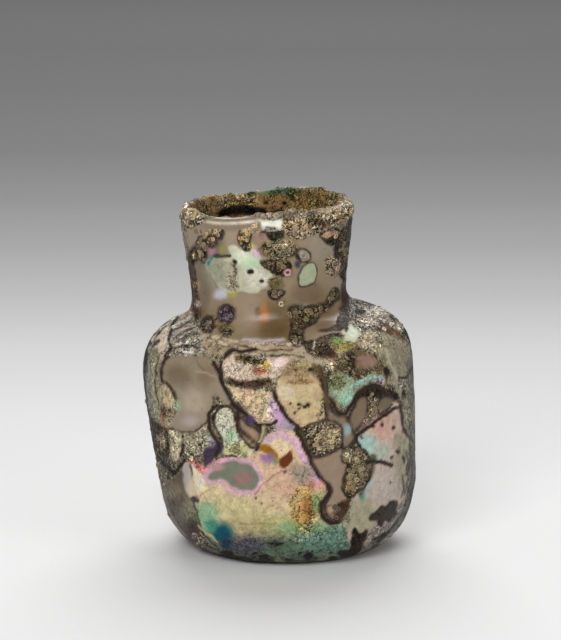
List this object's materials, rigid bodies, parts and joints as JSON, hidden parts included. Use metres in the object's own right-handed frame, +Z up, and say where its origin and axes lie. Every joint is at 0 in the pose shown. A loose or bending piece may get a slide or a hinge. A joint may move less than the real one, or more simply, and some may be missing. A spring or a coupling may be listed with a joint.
{
  "type": "flask",
  "caption": "Squat round-bodied blown-glass flask with soft shoulders and a wide flaring neck, leaning, with an open mouth and a standing ring.",
  "frame": {"origin": "on the standing plane, under the middle of the flask's outline seen from above", "axes": "+Z up through the neck, -Y the front that the picture shows, +X to the picture's right; the neck leans towards -X"},
  "size_m": [0.0588, 0.0584, 0.0759],
  "materials": {
    "weathered_glass": "hazy brown-grey glass, dulled by burial",
    "weathering_skin": "opaque iridescent film and flaky crust, satin with rough patches"
  },
  "bodies": {
    "root": {"flask": "weathered_glass"}
  },
  "joints": []
}
